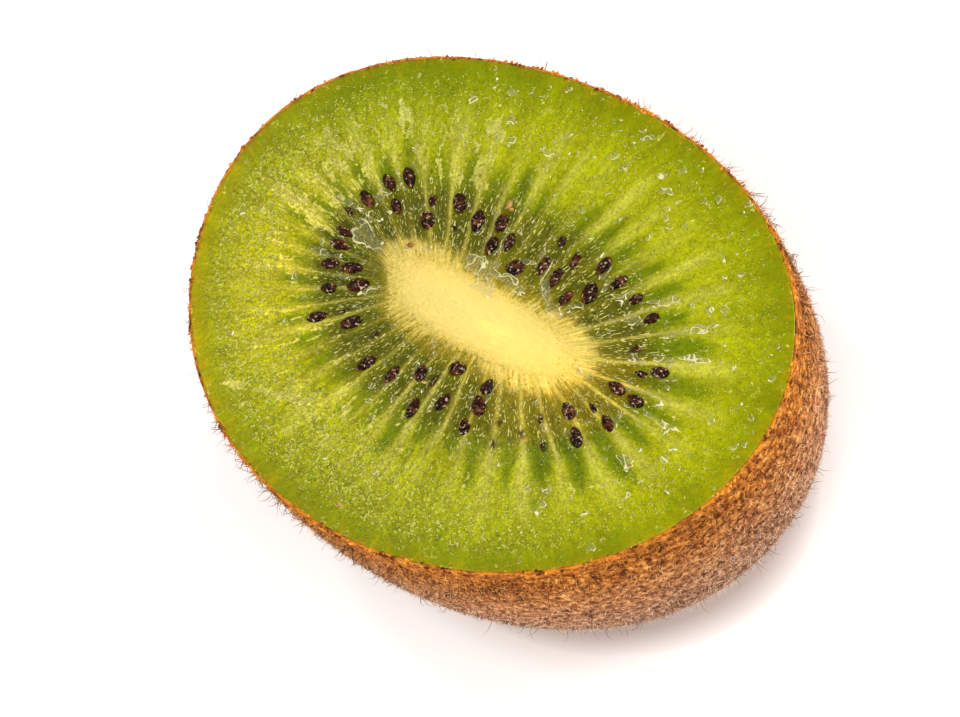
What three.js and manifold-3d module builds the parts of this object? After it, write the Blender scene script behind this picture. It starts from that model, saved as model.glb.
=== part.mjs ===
// Half of a green kiwi fruit, cut across and standing on its round end with the cut face up.
// Millimetres. +X runs along the long way of the cut face, +Z points up out of it, and the origin is
// the middle of the bounding box's underside, on the small flat spot that the half stands on.
//
// The cut face is described by rays. A ray runs from the edge of the pale core (share 0) to the skin
// (share 1), and the seed chambers, called locules, lie between rays all round the core.
import * as THREE from "three";
import { mergeVertices } from "three/addons/utils/BufferGeometryUtils.js";
import Module from "manifold-3d";

// The fruit
const FACE_LENGTH = 58;
const FACE_WIDTH = 44.3;
const DEPTH = 30; // from the cut to the tip of the round end, before the standing spot takes a little
const SIDE_ROUNDNESS = 2.6; // exponent of the superellipse that the side follows from the cut to the tip
const STANDING_FLAT = 0.3; // height that the standing spot takes off the tip
// The outline is an ellipse with a slight fullness: waves round it, and the sine and cosine of each
// as a share of the radius. The first makes it egg-shaped, the second a little boxy.
const OUTLINE_FULLNESS = [
  [3, 0.0167, -0.001],
  [4, -0.005, -0.005],
];

// The cut face
const CORE_LENGTH = 21;
const CORE_WIDTH = 6;
const CORE_X = 0.2;
const CORE_Y = -0.8;
const CORE_RISE = 0.15; // the firm core stands a little above the cut
const LOCULES = 40;
const LOCULE_END = 0.66; // share of the ray where a locule closes
const LOCULE_DEPTH = 0.25; // how far the soft locules sink between the rays
const EDGE_START = 0.985; // share of the ray where the cut edge starts to round over
const EDGE_DROP = 0.2;
// The rays stand closer along the flat sides of the core than round its two ends: waves round the
// core, and the sine and cosine of each as radians that a ray is turned by.
const RAY_CROWDING = [
  [1, 0.136, 0],
  [2, 0.085, 0.029],
  [3, 0.023, 0],
];

// The seeds
const SEED_LENGTH = 2.1;
const SEED_WIDTH = 1.35;
const SEED_THICKNESS = 1.1;
const SEED_ABOVE = 0.4; // height of a seed's back over the flesh round it
const SEED_TAPER = 0.3; // how much narrower the end by the core is
const INNER_GROWTH = 0.8; // seeds nearer the core are larger, by this much for each share of the ray
const USUAL_SHARE = 0.3; // share of the ray where a seed has its usual size
const SIZE_SPREAD = 0.09; // seeds vary by this share of their size
const TURN_SPREAD = 0.4; // radians either way from the ray
// How far out along its ray each seed of a locule lies, locule by locule, anticlockwise from +X.
const SEEDS_IN_LOCULE = [
  [0.24, 0.35], [0.31, 0.4], [0.29], [0.38], [0.345],
  [0.21, 0.345], [0.13, 0.345], [0.175, 0.27], [0.185, 0.31], [0.115],
  [0.205], [0.165, 0.27], [0.25], [0.19, 0.31], [0.205, 0.31],
  [0.415], [0.28, 0.405], [0.36], [0.35], [0.28],
  [0.255], [0.155, 0.27], [], [0.12, 0.275], [],
  [0.375], [0.235], [0.17], [0.3], [0.27],
  [0.19], [0.2, 0.335], [0.095, 0.26], [0.22, 0.33], [0.125, 0.32],
  [0.345], [0.25, 0.375], [0.215, 0.355], [0.24, 0.35], [],
];

// Fineness of the solid
const STEPS_PER_LOCULE = 4;
const AROUND = LOCULES * STEPS_PER_LOCULE;
const CORE_RING = 0.6; // one ring inside the core, as a share of its size
const FACE_SHARES = [0, 0.1, 0.22, 0.35, 0.5, LOCULE_END, 0.84, EDGE_START, 1];
const SIDE_RINGS = 12;

const FLESH_GREEN = "#9fb13b";
const GOLDEN_RATIO = 0.61803398875;

const wasm = await Module();
wasm.setup();

const smoothstep = THREE.MathUtils.smoothstep;

// A number from 0 to 1 for each count, spread evenly and without pattern.
const spread = (count) => (count * GOLDEN_RATIO) % 1;

const sumOfWaves = (waves, angle) =>
  waves.reduce((sum, [count, sine, cosine]) =>
    sum + sine * Math.sin(count * angle) + cosine * Math.cos(count * angle), 0);

// The angle parameter of the ray that is a given turn (0 to 2 pi) of the way round the locules.
const rayAngle = (turn) => turn + sumOfWaves(RAY_CROWDING, turn);

function skinEdge(angle) {
  return new THREE.Vector2(
    (FACE_LENGTH / 2) * Math.cos(angle),
    (FACE_WIDTH / 2) * Math.sin(angle),
  ).multiplyScalar(1 + sumOfWaves(OUTLINE_FULLNESS, angle));
}

function coreEdge(angle) {
  return new THREE.Vector2(
    CORE_X + (CORE_LENGTH / 2) * Math.cos(angle),
    CORE_Y + (CORE_WIDTH / 2) * Math.sin(angle),
  );
}

// Height of the cut face over its own plane. Each locule is a shallow furrow between two rays.
function relief(turn, share) {
  const acrossLocule = 0.5 + 0.5 * Math.cos(LOCULES * turn);
  const alongLocule = Math.sin(Math.PI * Math.min(share / LOCULE_END, 1));
  const edge = smoothstep(share, EDGE_START, 1);
  const core = 1 - smoothstep(share, 0, 0.1);
  return CORE_RISE * core - LOCULE_DEPTH * acrossLocule * alongLocule - EDGE_DROP * edge;
}

function facePoint(turn, share) {
  const angle = rayAngle(turn);
  const at = coreEdge(angle).lerp(skinEdge(angle), share);
  return new THREE.Vector3(at.x, at.y, relief(turn, share));
}

const ringOf = (pointAt) =>
  Array.from({ length: AROUND }, (_, i) => pointAt((2 * Math.PI * i) / AROUND));

// The side from the cut down to the standing spot: a superellipse, taken at even directions.
function sideRings() {
  const standDepth = 1 - STANDING_FLAT / DEPTH;
  const standShare = (1 - standDepth ** SIDE_ROUNDNESS) ** (1 / SIDE_ROUNDNESS);
  const lastDirection = Math.atan2(standDepth, standShare);
  return Array.from({ length: SIDE_RINGS }, (_, i) => {
    const direction = (lastDirection * (i + 1)) / SIDE_RINGS;
    const cosine = Math.cos(direction);
    const sine = Math.sin(direction);
    const reach = (cosine ** SIDE_ROUNDNESS + sine ** SIDE_ROUNDNESS) ** (-1 / SIDE_ROUNDNESS);
    return ringOf((turn) => {
      const at = skinEdge(rayAngle(turn)).multiplyScalar(reach * cosine);
      return new THREE.Vector3(at.x, at.y, -EDGE_DROP - (DEPTH - EDGE_DROP) * reach * sine);
    });
  });
}

// A closed surface through rings that run from the middle of the top to the middle of the bottom.
function closedSurface(top, rings, bottom) {
  const points = [top, ...rings.flat(), bottom];
  const last = points.length - 1;
  const at = (ring, i) => 1 + ring * AROUND + (i % AROUND);
  const triangles = [];
  for (let i = 0; i < AROUND; i++) {
    triangles.push(0, at(0, i), at(0, i + 1));
    for (let ring = 0; ring < rings.length - 1; ring++) {
      triangles.push(at(ring, i), at(ring + 1, i), at(ring + 1, i + 1));
      triangles.push(at(ring, i), at(ring + 1, i + 1), at(ring, i + 1));
    }
    triangles.push(at(rings.length - 1, i), last, at(rings.length - 1, i + 1));
  }
  return new THREE.BufferGeometry().setFromPoints(points).setIndex(triangles);
}

function fruitBody() {
  const core = new THREE.Vector3(CORE_X, CORE_Y, CORE_RISE);
  const coreRing = ringOf((turn) => core.clone().lerp(facePoint(turn, 0), CORE_RING));
  const faceRings = FACE_SHARES.map((share) => ringOf((turn) => facePoint(turn, share)));
  const side = sideRings();
  const standing = new THREE.Vector3(0, 0, side.at(-1)[0].z);
  return closedSurface(core, [coreRing, ...faceRings, ...side], standing);
}

// One seed, lying along +X with its narrower end towards the core at -X.
function seedShape(size) {
  const seed = new THREE.OctahedronGeometry(1, 1);
  const position = seed.getAttribute("position");
  for (let i = 0; i < position.count; i++) {
    const narrowing = 1 - SEED_TAPER * Math.max(0, -position.getX(i));
    position.setY(i, position.getY(i) * narrowing);
  }
  return seed.scale(
    (size * SEED_LENGTH) / 2,
    (size * SEED_WIDTH) / 2,
    (size * SEED_THICKNESS) / 2,
  );
}

function seeds() {
  const made = [];
  SEEDS_IN_LOCULE.forEach((shares, locule) => {
    const turn = (2 * Math.PI * locule) / LOCULES;
    const out = skinEdge(rayAngle(turn)).sub(coreEdge(rayAngle(turn))).angle();
    for (const share of shares) {
      const draw = 2 * spread(made.length + 1) - 1;
      const size = 1 + INNER_GROWTH * (USUAL_SHARE - share) + SIZE_SPREAD * draw;
      const twist = TURN_SPREAD * (2 * spread(3 * made.length + 2) - 1);
      const at = facePoint(turn, share);
      made.push(
        seedShape(size)
          .rotateZ(out + twist)
          .translate(at.x, at.y, at.z + SEED_ABOVE - (size * SEED_THICKNESS) / 2),
      );
    }
  });
  return made;
}

function solidOf(geometry) {
  const bare = new THREE.BufferGeometry().setAttribute("position", geometry.getAttribute("position"));
  bare.setIndex(geometry.index);
  const merged = mergeVertices(bare, 1e-4);
  return new wasm.Manifold(
    new wasm.Mesh({
      numProp: 3,
      vertProperties: merged.getAttribute("position").array,
      triVerts: new Uint32Array(merged.index.array),
    }),
  );
}

function geometryOf(solid) {
  const mesh = solid.getMesh();
  return new THREE.BufferGeometry()
    .setAttribute("position", new THREE.BufferAttribute(mesh.vertProperties, 3))
    .setIndex(new THREE.BufferAttribute(mesh.triVerts, 1));
}

const half = geometryOf(seeds().reduce((solid, seed) => solid.add(solidOf(seed)), solidOf(fruitBody())));
half.computeBoundingBox();
const box = half.boundingBox;
const middle = box.getCenter(new THREE.Vector3());
half.translate(-middle.x, -middle.y, -box.min.z);
half.computeVertexNormals();

const kiwiHalf = new THREE.Mesh(
  half,
  new THREE.MeshStandardMaterial({ color: FLESH_GREEN, roughness: 0.35, metalness: 0 }),
);
kiwiHalf.name = "kiwi_half";

const part = new THREE.Group();
part.add(kiwiHalf);

export default part;
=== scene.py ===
"""Half of a green kiwi fruit: wet cut face with its seeds, and the thin brown furry skin under it."""

import math
from collections import namedtuple

import bpy
import numpy as np
from mathutils import Matrix, Vector, noise
from mathutils.bvhtree import BVHTree


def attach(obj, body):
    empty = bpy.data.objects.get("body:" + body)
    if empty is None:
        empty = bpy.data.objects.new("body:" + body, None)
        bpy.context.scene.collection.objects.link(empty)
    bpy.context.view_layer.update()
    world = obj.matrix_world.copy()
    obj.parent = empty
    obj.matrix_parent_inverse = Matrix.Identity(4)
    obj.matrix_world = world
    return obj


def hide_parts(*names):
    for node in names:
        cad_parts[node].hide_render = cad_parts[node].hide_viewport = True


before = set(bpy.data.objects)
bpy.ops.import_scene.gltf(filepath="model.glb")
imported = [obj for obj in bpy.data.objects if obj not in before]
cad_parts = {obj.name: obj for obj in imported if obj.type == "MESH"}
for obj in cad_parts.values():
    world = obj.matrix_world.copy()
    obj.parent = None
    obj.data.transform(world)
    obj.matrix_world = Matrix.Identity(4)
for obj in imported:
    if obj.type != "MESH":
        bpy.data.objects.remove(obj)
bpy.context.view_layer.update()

MM = 0.001

# The fruit, with the same sizes as the solid kiwi_half.
FACE_LENGTH = 58 * MM
FACE_WIDTH = 44.3 * MM
DEPTH = 30 * MM
SIDE_ROUNDNESS = 2.6
STANDING_FLAT = 0.3 * MM
OUTLINE_FULLNESS = ((3, 0.0167, -0.001), (4, -0.005, -0.005))

# The cut face. A ray runs from the edge of the pale core (share 0) to the skin (share 1), and the
# seed chambers, called locules, lie between rays all round the core.
CORE_LENGTH = 21 * MM
CORE_WIDTH = 6 * MM
CORE_X = 0.2 * MM
CORE_Y = -0.8 * MM
CORE_RISE = 0.15 * MM
LOCULES = 40
LOCULE_END = 0.66
LOCULE_DEPTH = 0.14 * MM
EDGE_START = 0.985
EDGE_DROP = 0.2 * MM  # the side starts this far under the plane of the cut
FLESH_DROP = 0.03 * MM  # the flesh rounds over by less, and the skin's ragged edge stands up to it
RAY_CROWDING = ((1, 0.136, 0), (2, 0.085, 0.029), (3, 0.023, 0))
# The pale tissue of the core ends unevenly: waves round it, as shares of a ray.
CORE_EDGE = 0.022
CORE_UNEVENNESS = (
    (1, 0.014, 0.038), (2, -0.016, 0.005), (3, 0.039, 0.019), (4, -0.01, -0.039), (5, 0.025, 0.001),
)

# The seeds: where the middle of each lies from the middle of the cut, its length and width, all in
# millimetres, the way its blunt end points, in degrees, and its veil: how far the flesh has closed
# over it, where it has.
SEEDS = (
    (-13.3, 7.0, 2.3, 1.1, 142), (-14.65, 5.8, 2.1, 1.05, 153), (-12.65, 4.25, 1.9, 0.95, 147, 0.2),
    (-15.5, 3.6, 2.2, 1.0, 155, 0.1), (-16.2, 1.9, 1.7, 0.7, 165, 0.6),
    (-15.4, 0.2, 1.9, 0.85, 175), (-14.95, -1.0, 2.15, 1.0, 188), (-12.65, -2.25, 2.4, 1.2, 205),
    (-14.65, -2.75, 1.85, 1.1, 205), (-11.1, -3.25, 2.35, 1.4, 213),
    (-13.3, -4.7, 1.6, 1.0, 205, 0.1), (-9.55, -6.3, 2.35, 1.4, 222),
    (-12.6, -7.35, 2.1, 1.15, 217), (-5.9, -8.7, 2.15, 1.15, 245), (-7.7, 7.1, 2.3, 1.25, 136),
    (-5.2, 6.45, 2.3, 1.25, 115), (-10.0, 6.15, 1.3, 0.7, 125, 0.4), (-9.25, 4.45, 2.1, 1.3, 138),
    (-6.65, 5.05, 0.9, 0.7, 120, 0.8), (-10.75, -5.75, 1.4, 0.6, 225, 0.7),
    (-6.85, -6.25, 1.5, 0.7, 247, 0.7), (-3.15, 7.25, 1.9, 1.25, 110), (-2.65, 5.15, 1.9, 1.1, 103),
    (-1.4, 6.15, 1.8, 0.9, 102), (0.45, 4.45, 2.0, 1.7, 15), (2.6, 5.75, 1.95, 0.9, 97),
    (4.25, 5.35, 2.0, 1.05, 100), (2.7, 8.3, 1.2, 0.75, 110, 0.3), (4.8, 7.4, 1.65, 0.8, 105, 0.1),
    (6.2, 4.2, 1.7, 1.05, 80), (7.75, 5.55, 2.35, 1.55, 105), (7.3, 8.2, 2.0, 1.2, 85),
    (9.4, 7.5, 1.8, 0.95, 70), (11.65, 7.0, 1.4, 0.9, 63, 0.1), (13.9, 6.2, 1.55, 1.0, 53, 0.2),
    (14.45, 3.4, 1.65, 1.0, 42, 0.6), (17.45, 2.55, 1.85, 1.05, 18), (16.1, 1.7, 1.4, 0.6, 15, 0.4),
    (15.0, -0.3, 1.95, 1.1, 352), (17.1, -0.5, 1.85, 1.1, 355), (16.2, -3.25, 1.8, 0.9, 332, 0.1),
    (14.25, -2.7, 1.25, 0.5, 335, 0.5), (12.6, -3.95, 1.9, 1.1, 332), (14.55, -5.5, 2.15, 1.1, 320),
    (10.9, -5.6, 1.3, 0.75, 315, 0.6), (12.5, -7.45, 1.6, 0.85, 318, 0.6),
    (10.2, -7.5, 1.3, 0.7, 305, 0.7), (-3.25, -8.5, 1.9, 0.95, 265), (-1.05, -7.2, 1.6, 1.05, 280),
    (0.3, -10.1, 2.0, 1.0, 280), (1.6, -5.35, 1.9, 1.45, 205), (2.3, -8.4, 1.85, 1.1, 268),
    (4.95, -5.5, 1.6, 1.15, 275), (5.3, -7.2, 2.1, 1.3, 307), (5.4, -9.35, 1.65, 1.1, 303),
    (0.45, -7.2, 1.6, 0.75, 272, 0.8), (7.85, -7.6, 1.0, 0.5, 300, 0.7),
    (8.6, -9.4, 1.3, 0.6, 300, 0.7),
)
SEED_FLATNESS = 0.82  # thickness of a seed as a share of its width
SEED_ABOVE = 0.4 * MM  # height of a seed's back over the flesh round it
SEED_TAPER = 0.3  # how much narrower the end by the core is
VEIL_DEPTH = 0.45 * MM  # how much lower a seed lies that the flesh has closed over

GOLDEN_RATIO = 0.61803398875
SKIN_THICKNESS = 0.2 * MM


def spread(count):
    """A number from 0 to 1 for each count, spread evenly and without pattern."""
    return (count * GOLDEN_RATIO) % 1


def smoothstep(value, low, high):
    share = np.clip((value - low) / (high - low), 0, 1)
    return share * share * (3 - 2 * share)


def hump(value, middle, width):
    """1 at the middle, falling to nothing over about twice the width on either side."""
    return np.exp(-(((value - middle) / width) ** 2))


def round_hump(angle, middle, width):
    """The same for an angle, in degrees, that goes round and round."""
    away = (angle - middle + 180) % 360 - 180
    return np.exp(-((away / width) ** 2))


def sum_of_waves(waves, angle):
    return sum(
        sine * np.sin(count * angle) + cosine * np.cos(count * angle) for count, sine, cosine in waves
    )


def ray_angle(turn):
    """The angle parameter of the ray that is a given turn (0 to 2 pi) of the way round."""
    return turn + sum_of_waves(RAY_CROWDING, turn)


def oval(angle, length, width):
    return np.stack([length / 2 * np.cos(angle), width / 2 * np.sin(angle)], -1)


def outline(angle):
    fullness = 1 + sum_of_waves(OUTLINE_FULLNESS, angle)
    return oval(angle, FACE_LENGTH, FACE_WIDTH) * fullness[..., None]


def turned(places, angle):
    """Flat places, turned round their origin."""
    x, y = places[..., 0], places[..., 1]
    return np.stack([x * np.cos(angle) - y * np.sin(angle), x * np.sin(angle) + y * np.cos(angle)], -1)


# The outline's own middle, seen from the middle of its box, which is the origin.
OUTLINE_BOX = outline(ray_angle(np.linspace(0, 2 * math.pi, LOCULES * 4, endpoint=False)))
MIDDLE = -(OUTLINE_BOX.max(0) + OUTLINE_BOX.min(0)) / 2
CUT_HEIGHT = EDGE_DROP + (DEPTH - EDGE_DROP) * (1 - STANDING_FLAT / DEPTH)
CORE_CENTRE = np.array([CORE_X, CORE_Y])


def face_place(turn, share):
    """Where a point of the cut face lies, in metres. Below 0 the share runs into the core."""
    angle = ray_angle(turn)
    core = oval(angle, CORE_LENGTH, CORE_WIDTH)
    outside = np.clip(share, 0, None)[..., None]
    inside = 1 + np.clip(share, -1, 0)[..., None]
    return MIDDLE + CORE_CENTRE + core * inside + (outline(angle) - CORE_CENTRE - core) * outside


def face_relief(across, share):
    """Height of the cut face over its own plane. The locules lie across 0, the walls at a half."""
    furrow = 0.5 + 0.5 * np.cos(2 * math.pi * across)
    along = np.sin(math.pi * np.clip(share / LOCULE_END, 0, 1))
    core = 1 - smoothstep(share, 0, 0.1)
    edge = smoothstep(share, EDGE_START, 1)
    return CORE_RISE * core - LOCULE_DEPTH * furrow * along - FLESH_DROP * edge


def side_place(turn, direction, inset=0.0):
    """A point of the side: direction 0 is the cut edge, a quarter turn is the tip below."""
    cosine = np.cos(direction)
    sine = np.sin(direction)
    reach = (cosine**SIDE_ROUNDNESS + sine**SIDE_ROUNDNESS) ** (-1 / SIDE_ROUNDNESS)
    at = outline(ray_angle(turn))
    size = np.linalg.norm(at, axis=-1, keepdims=True)
    flat = MIDDLE + at * (1 - inset / size) * (reach * cosine)[..., None]
    height = CUT_HEIGHT - EDGE_DROP - (DEPTH - EDGE_DROP - inset) * reach * sine
    return np.concatenate([flat, np.maximum(height, inset)[..., None]], -1)


def noise_at(points, scale, octaves=2):
    """Blender's own noise, about -1 to 1, at an array of points, in steps of scale."""
    return np.array([noise.fractal(p, 1.0, 2.0, octaves) for p in (points / scale).tolist()])


# ------------ objects


def deselect():
    for chosen in bpy.context.selected_objects:
        chosen.select_set(False)


def coordinates(piece):
    flat = np.empty(len(piece.data.vertices) * 3)
    piece.data.vertices.foreach_get("co", flat)
    return flat.reshape(-1, 3)


def set_coordinates(piece, places):
    piece.data.vertices.foreach_set("co", places.ravel())
    piece.data.update()


def add_object(name, data):
    made = bpy.data.objects.new(name, data)
    bpy.context.scene.collection.objects.link(made)
    return made


def unit_ball(add_ball, **settings):
    """The points and faces of a ball of radius 1, for shapes that are copies of it."""
    deselect()
    add_ball(radius=1.0, **settings)
    ball = bpy.context.object
    points = coordinates(ball)
    faces = [tuple(face.vertices) for face in ball.data.polygons]
    bpy.data.objects.remove(ball)
    return points, faces


def piece_from(*groups):
    """One piece of many separate shapes. Each group is an array of its shapes' points, and the faces
    that every shape in it has."""
    corners, sizes, start = [], [], 0
    for points, faces in groups:
        count, size = points.shape[:2]
        starts = start + size * np.arange(count)[:, None]
        corners.append((starts + np.concatenate(faces)).ravel())
        sizes += [len(face) for face in faces] * count
        start += count * size
    corners = np.concatenate(corners)
    mesh = bpy.data.meshes.new("shapes")
    mesh.vertices.add(start)
    mesh.vertices.foreach_set("co", np.concatenate([points.ravel() for points, _ in groups]))
    mesh.loops.add(len(corners))
    mesh.loops.foreach_set("vertex_index", corners)
    mesh.polygons.add(len(sizes))
    mesh.polygons.foreach_set("loop_start", np.cumsum([0, *sizes[:-1]]))
    mesh.update(calc_edges=True)
    return add_object("shapes", mesh)


def finish_piece(piece, name, material, slot, **attributes):
    """Names a piece and gives it its material. An attribute is a number or a vector for each of its
    points, which the material reads."""
    piece.name = name
    piece.data.name = name
    piece.data.materials.append(material)
    piece.data.polygons.foreach_set("use_smooth", [True] * len(piece.data.polygons))
    for attribute, values in attributes.items():
        values = np.asarray(values, float)
        kind, key = ("FLOAT_VECTOR", "vector") if values.ndim == 2 else ("FLOAT", "value")
        piece.data.attributes.new(attribute, kind, "POINT").data.foreach_set(key, values.ravel())
    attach(piece, "root")
    return piece


# ------------ materials

MIX_A = 6  # sockets of a Mix node that mixes colours, where 2 and 3 are those for numbers
MIX_B = 7
COLOURS = {"output": 2, "data_type": "RGBA"}
MULTIPLIES = {**COLOURS, "blend_type": "MULTIPLY"}


def colour(sheet):
    """An sRGB hex value as the linear colour that Blender works with."""
    channels = [int(sheet[i : i + 2], 16) / 255 for i in (1, 3, 5)]
    linear = [c / 12.92 if c <= 0.04045 else ((c + 0.055) / 1.055) ** 2.4 for c in channels]
    return (*linear, 1.0)


def add_node(tree, kind, inputs=(), output=0, stops=(), **settings):
    """Adds one node and gives one of its outputs. inputs are its sockets in order, or by name or
    number, each a value, a hex colour or another node's output. stops are a ramp's colours."""
    made = tree.nodes.new("ShaderNode" + kind)
    for key, value in settings.items():
        setattr(made, key, value)
    for key, value in inputs.items() if isinstance(inputs, dict) else enumerate(inputs):
        if isinstance(value, bpy.types.NodeSocket):
            tree.links.new(value, made.inputs[key])
        else:
            made.inputs[key].default_value = colour(value) if isinstance(value, str) else value
    for count, (place, sheet) in enumerate(stops):
        if count == len(made.color_ramp.elements):
            made.color_ramp.elements.new(1.0)
        made.color_ramp.elements[count].position = place
        made.color_ramp.elements[count].color = colour(sheet)
    return made.outputs[output] if made.outputs else None


def new_material(name, attributes=(), noises=()):
    """A material without a surface as yet, what the attributes of its piece say, and noises by
    place, each with its scale, detail and roughness."""
    material = bpy.data.materials.new(name)
    material.use_nodes = True
    tree = material.node_tree
    tree.nodes.clear()
    read = [add_node(tree, "Attribute", output="Fac", attribute_name=kind) for kind in attributes]
    for scale, detail, roughness in noises:
        place = add_node(tree, "TexCoord", output="Object")
        read.append(add_node(tree, "TexNoise", {
            "Vector": place, "Scale": scale, "Detail": detail, "Roughness": roughness}))
    return material, tree, *read


def with_surface(material, finish):
    surface = add_node(material.node_tree, "BsdfPrincipled", finish)
    add_node(material.node_tree, "OutputMaterial", (surface,))
    return material


def wet_flesh():
    """Ripe kiwi flesh, freshly cut: juicy and faintly translucent, with torn cells full of juice. Their
    glints, the sheen of the juice and the shade beside each glint are painted into its colour.
    """
    (material, tree, ring, pulp, chamber, septum, band, veil, film, rough, torn,
     round_glints, grain, cells, lines, patches, blotches, clouds) = new_material(
        "ripe_kiwi_flesh_wet_cut",
        ("ring", "pulp", "chamber", "septum", "band", "veil", "film", "rough", "torn"),
        # As wide as they are long: steps of 0.2, 0.4, 0.3, 0.6, 0.8, 1.1 and 2.4 mm.
        ((5200.0, 1.0, 0.5), (2600.0, 2.0, 0.55), (3700.0, 2.0, 0.6), (1700.0, 1.0, 0.5),
         (1300.0, 1.0, 0.5), (900.0, 2.0, 0.6), (420.0, 3.0, 0.6)),
    )
    place = add_node(tree, "TexCoord", output="Object")
    ray = add_node(tree, "Attribute", output="Vector", attribute_name="ray")
    # The tint attribute holds painted light and shade as well as the flesh's uneven tone.
    tint = add_node(tree, "Attribute", output="Color", attribute_name="tint")
    # Where the knife tore the flesh, it stands in short crooked ridges along the rays.
    bends = add_node(tree, "TexNoise", {"Vector": place, "Scale": 800.0, "Detail": 1.0}, "Color")
    shorter = add_node(tree, "Mapping", {"Vector": ray, "Scale": (1.0, 1.0, 2.6)})
    crooked = add_node(tree, "VectorMath", (bends, (0.7, 0.7, 0.7), shorter),
                       operation="MULTIPLY_ADD")
    # Long and thin, because the ray attribute is stretched along the rays.
    fibres, streaks, strokes, ridges, long_glints = (
        add_node(tree, "TexNoise",
                 {"Vector": vector, "Scale": scale, "Detail": detail, "Roughness": roughness})
        for vector, scale, detail, roughness in (
            (ray, 1.5, 5.0, 0.68), (ray, 0.45, 2.0, 0.5), (crooked, 1.0, 2.0, 0.6),
            (crooked, 2.2, 2.0, 0.6), (crooked, 4.4, 1.0, 0.5),
        )
    )
    wander, cells, strokes, ridges, lines = (
        add_node(tree, "Math", (swell, 0.5), operation="SUBTRACT")
        for swell in (fibres, cells, strokes, ridges, lines)
    )

    # The core's edge is granular, and frays out along the rays.
    radius = add_node(tree, "Math", (wander, 0.24, ring), operation="MULTIPLY_ADD")
    radius = add_node(tree, "Math", (cells, 0.14, radius), operation="MULTIPLY_ADD")
    shade = add_node(
        tree, "ValToRGB", (radius,),
        stops=(
            (0.0, "#f5df7e"), (0.12, "#f3d572"), (0.155, "#dec052"), (0.195, "#948012"),
            (0.27, "#7a7004"), (0.36, "#756c02"), (0.48, "#848802"), (0.62, "#aaab0a"),
            (0.75, "#a8aa06"), (0.9, "#8f9400"), (0.96, "#828800"), (1.0, "#968800"),
        ),
    )
    # Dark green blotches of a millimetre or so, among the tips of the green pulp.
    blotch = add_node(tree, "MapRange", (blotches, 0.56, 0.7, 0.0, 0.5))
    outside = add_node(tree, "MapRange", (ring, 0.35, 0.6))
    blotch = add_node(tree, "Math", (blotch, outside), operation="MULTIPLY")
    shade = add_node(tree, "Mix", {0: blotch, MIX_A: shade, MIX_B: "#7c9400"}, **COLOURS)
    # A film of juice bridges some of the ridges in pale strokes: its sheen is painted into the colour.
    film_sheen = add_node(tree, "Math", (strokes, 5.0, film), operation="MULTIPLY_ADD")
    film_sheen = add_node(tree, "Math", (cells, 1.2, film_sheen), operation="MULTIPLY_ADD")
    # The mask of each tissue is soft. It is made crisp again, with an edge that follows the fibres.
    for mask, amount, low, high, sheet in (
        (band, 0.5, 0.1, 1.1, "#bdb93c"), (pulp, 0.9, 0.2, 0.85, "#6c7c00"),
        (chamber, 0.8, 0.1, 1.0, "#5e5e02"), (septum, 0.7, 0.2, 0.95, "#c2b74c"),
        (veil, 0.5, 0.1, 0.7, "#2c1606"), (film_sheen, 0.8, 0.9, 1.3, "#c6c056"),
    ):
        frayed = add_node(tree, "Math", (wander, amount, mask), operation="MULTIPLY_ADD")
        crisp = add_node(tree, "MapRange", (frayed, low, high), interpolation_type="SMOOTHSTEP")
        shade = add_node(tree, "Mix", {0: crisp, MIX_A: shade, MIX_B: sheet}, **COLOURS)

    # The flesh's cells and ridges, soft streaks along the rays, broad and fine, and clouding.
    uneven = add_node(tree, "Math", (torn, 1.2, 0.65), operation="MULTIPLY_ADD")
    tone, ridge_tone = (
        add_node(tree, "Math", (swing, uneven, 1.0), operation="MULTIPLY_ADD")
        for swing in (cells, ridges)
    )
    soft_tones = (
        add_node(tree, "MapRange", (value, 0.3, 0.7, low, high))
        for value, low, high in ((fibres, 0.9, 1.1), (clouds, 0.92, 1.08), (streaks, 0.86, 1.16))
    )
    # The tint brings in painted light and shade along with the uneven tone.
    for other in (ridge_tone, *soft_tones, tint):
        tone = add_node(tree, "Mix", {0: 1.0, MIX_A: tone, MIX_B: other}, **MULTIPLIES)

    # Painted glints of torn wet cells: pale specks 0.1 mm across with painted shade at their edge,
    # dense where the torn attribute is high and drawn out along the rays near the core, and a few
    # crooked glinting scraps.
    inner = add_node(tree, "MapRange", (ring, 0.5, 0.66, 1.0, 0.0))
    glint_speck = add_node(tree, "Mix", {0: inner, 2: round_glints, 3: long_glints})
    glint_speck = add_node(tree, "Math", (torn, 0.17, glint_speck), operation="MULTIPLY_ADD")
    painted_shade_edge = add_node(tree, "MapRange", (glint_speck, 0.57, 0.65, 1.0, 0.58))
    out_of_core = add_node(tree, "MapRange", (ring, 0.1, 0.22, 0.3, 1.0))
    for other in (tone, painted_shade_edge):
        shade = add_node(tree, "Mix", {0: out_of_core, MIX_A: shade, MIX_B: other}, **MULTIPLIES)
    glint_speck = add_node(tree, "MapRange", (glint_speck, 0.67, 0.73, 0.0, 0.8))
    # A crooked line runs where its noise crosses the middle.
    lines = add_node(tree, "Math", (lines,), operation="ABSOLUTE")
    lines = add_node(tree, "MapRange", (lines, 0.015, 0.045, 1.0, 0.0))
    breaks = add_node(tree, "Math", (inner, -0.06, patches), operation="MULTIPLY_ADD")
    breaks = add_node(tree, "MapRange", (breaks, 0.62, 0.68, 0.0, 0.45))
    painted_glints = add_node(tree, "Math", (lines, breaks), operation="MULTIPLY")
    painted_glints = add_node(tree, "Math", (painted_glints, glint_speck), operation="MAXIMUM")
    # The colour of the painted glints.
    pale = add_node(tree, "Mix", {0: inner, MIX_A: "#d4d25a", MIX_B: "#e9e17c"}, **COLOURS)
    shade = add_node(tree, "Mix", {0: painted_glints, MIX_A: shade, MIX_B: pale}, **COLOURS)

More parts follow.
